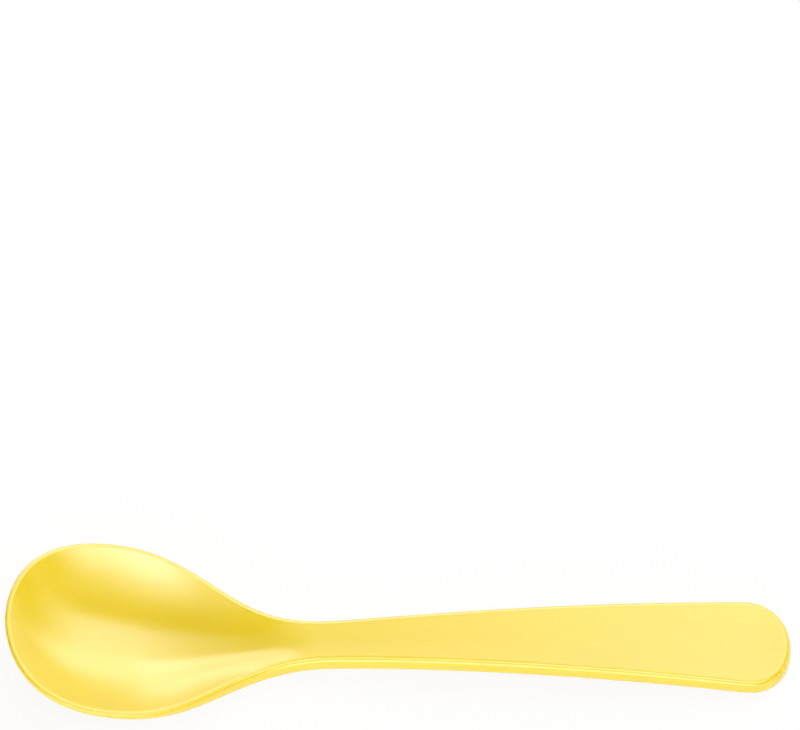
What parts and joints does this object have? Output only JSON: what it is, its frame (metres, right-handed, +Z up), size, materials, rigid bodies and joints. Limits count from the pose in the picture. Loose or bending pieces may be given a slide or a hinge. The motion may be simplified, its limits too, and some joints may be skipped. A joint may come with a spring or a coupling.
{
  "type": "egg spoon",
  "caption": "Small moulded plastic egg spoon with an egg-shaped bowl, a narrow neck and a flat handle that widens to a rounded end.",
  "frame": {"origin": "middle of the bounding box's bottom, on the table that the spoon lies on, bowl up", "axes": "+X along the spoon from the bowl's tip to the handle's end, +Y across it, +Z up out of the bowl"},
  "size_m": [0.125, 0.032, 0.0125],
  "materials": {
    "yellow_plastic": "lemon yellow moulded plastic, coloured through, smooth with a satin gloss"
  },
  "bodies": {
    "root": {"bowl": "yellow_plastic", "handle": "yellow_plastic"}
  },
  "joints": []
}
